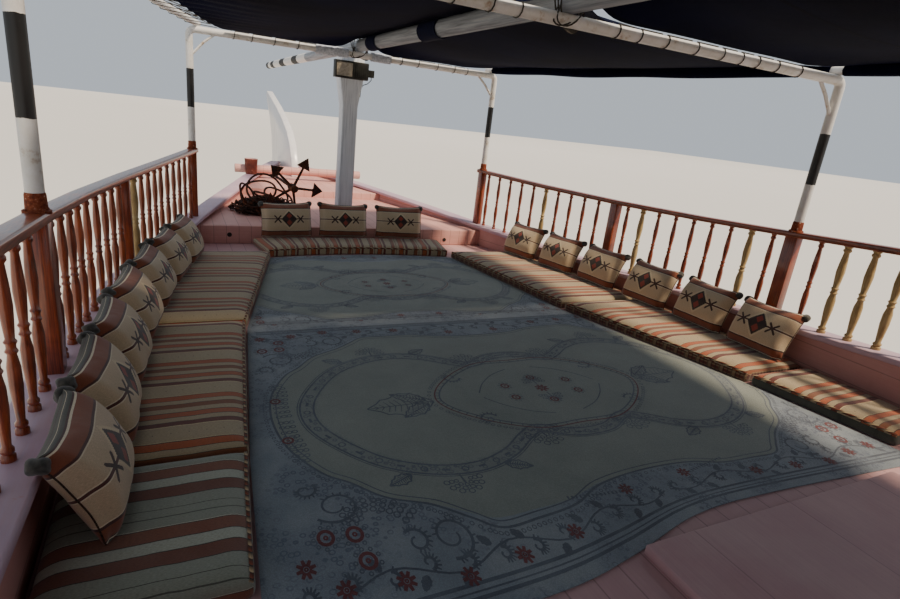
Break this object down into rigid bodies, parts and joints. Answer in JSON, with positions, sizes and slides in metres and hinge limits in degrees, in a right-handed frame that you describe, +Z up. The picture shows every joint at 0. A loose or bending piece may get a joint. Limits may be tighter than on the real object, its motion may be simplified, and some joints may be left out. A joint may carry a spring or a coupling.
{
  "type": "dhow sailing boat",
  "caption": "Wooden dhow with a raked stem, carpeted and cushioned foredeck inside varnished railings, canvas awning on pipe hoops, wheelhouse, rudder and screw.",
  "frame": {"origin": "on the centreline at the waterline, 0.84 m forward of the middle awning hoop", "axes": "+X to starboard, +Y to the bow, +Z up"},
  "size_m": [5.08, 19.795, 5.0144],
  "materials": {
    "hull_planks": "oiled planks",
    "keel_paint": "matte bottom paint",
    "white_wood": "white gloss paint",
    "pink_wood": "worn dusty pink paint",
    "lavender_wood": "worn lavender paint",
    "red_varnish": "varnished reddish wood",
    "white_pipe": "white paint with a black band",
    "mast_paint": "weathered grey-white paint",
    "pole_wood": "weathered grey wood, black and white bands forward",
    "black_metal": "satin black",
    "navy_canvas": "very dark navy canvas",
    "kilim_mattress": "striped flat weave",
    "kilim_cushion": "flat weave with rust bands",
    "carpet_pile": "short pile, floral scrolls",
    "rusty_iron": "rusty",
    "house_wood": "varnished boards",
    "roof_paint": "off-white paint",
    "engine_paint": "grey-green enamel",
    "bronze": "cast, satin",
    "rudder_wood": "oiled wood"
  },
  "bodies": {
    "boat": {"awning_hoop_1": "white_pipe", "awning_hoop_2": "white_pipe", "awning_hoop_3": "white_pipe", "awning_panel_1": "navy_canvas", "awning_panel_2": "navy_canvas", "bow_deck": "pink_wood", "bulwark_port": "pink_wood", "bulwark_starboard": "pink_wood", "cap_rail_port": "lavender_wood", "cap_rail_starboard": "lavender_wood", "carpet_aft": "carpet_pile", "carpet_fore": "carpet_pile", "cathead_beam": "pink_wood", "chain_heap": "rusty_iron", "cushion_front_1": "kilim_cushion", "cushion_front_2": "kilim_cushion", "cushion_front_3": "kilim_cushion", "cushion_port_1": "kilim_cushion", "cushion_port_2": "kilim_cushion", "cushion_port_3": "kilim_cushion", "cushion_port_4": "kilim_cushion", "cushion_port_5": "kilim_cushion", "cushion_port_6": "kilim_cushion", "cushion_port_7": "kilim_cushion", "cushion_starboard_1": "kilim_cushion", "cushion_starboard_2": "kilim_cushion", "cushion_starboard_3": "kilim_cushion", "cushion_starboard_4": "kilim_cushion", "cushion_starboard_5": "kilim_cushion", "cushion_starboard_6": "kilim_cushion", "deck": "pink_wood", "deck_hatch": "pink_wood", "engine": "engine_paint", "floodlight": "black_metal", "foredeck_step": "pink_wood", "grapnel": "rusty_iron", "helm": "red_varnish", "hull": "hull_planks", "keel": "keel_paint", "mast": "mast_paint", "mattress_front": "kilim_mattress", "mattress_port_1": "kilim_mattress", "mattress_port_2": "kilim_mattress", "mattress_port_3": "kilim_mattress", "mattress_starboard_1": "kilim_mattress", "mattress_starboard_2": "kilim_mattress", "mattress_starboard_3": "kilim_mattress", "railing_port": "red_varnish", "railing_starboard": "red_varnish", "ridge_pole": "pole_wood", "side_pipe_port": "white_pipe", "side_pipe_starboard": "white_pipe", "stem_post": "white_wood", "stern_post": "hull_planks", "transom_bulwark": "hull_planks", "wheelhouse": "house_wood", "wheelhouse_roof": "roof_paint"},
    "rudder": {"rudder": "rudder_wood"},
    "propeller": {"propeller": "bronze"},
    "door": {"wheelhouse_door": "red_varnish"}
  },
  "joints": [
    {"name": "rudder_turn", "type": "hinge", "parent": "boat", "child": "rudder", "pos_m": [0, -8.895, 0], "axis": [0, 0, 1], "range_deg": [-35, 35]},
    {"name": "propeller_spin", "type": "hinge", "parent": "boat", "child": "propeller", "pos_m": [0, -8.33, -0.74], "axis": [0, 1, 0], "continuous": true},
    {"name": "door_swing", "type": "hinge", "parent": "boat", "child": "door", "pos_m": [-0.524, -7.616, 0], "axis": [0, 0, -1], "range_deg": [0, 100]}
  ]
}
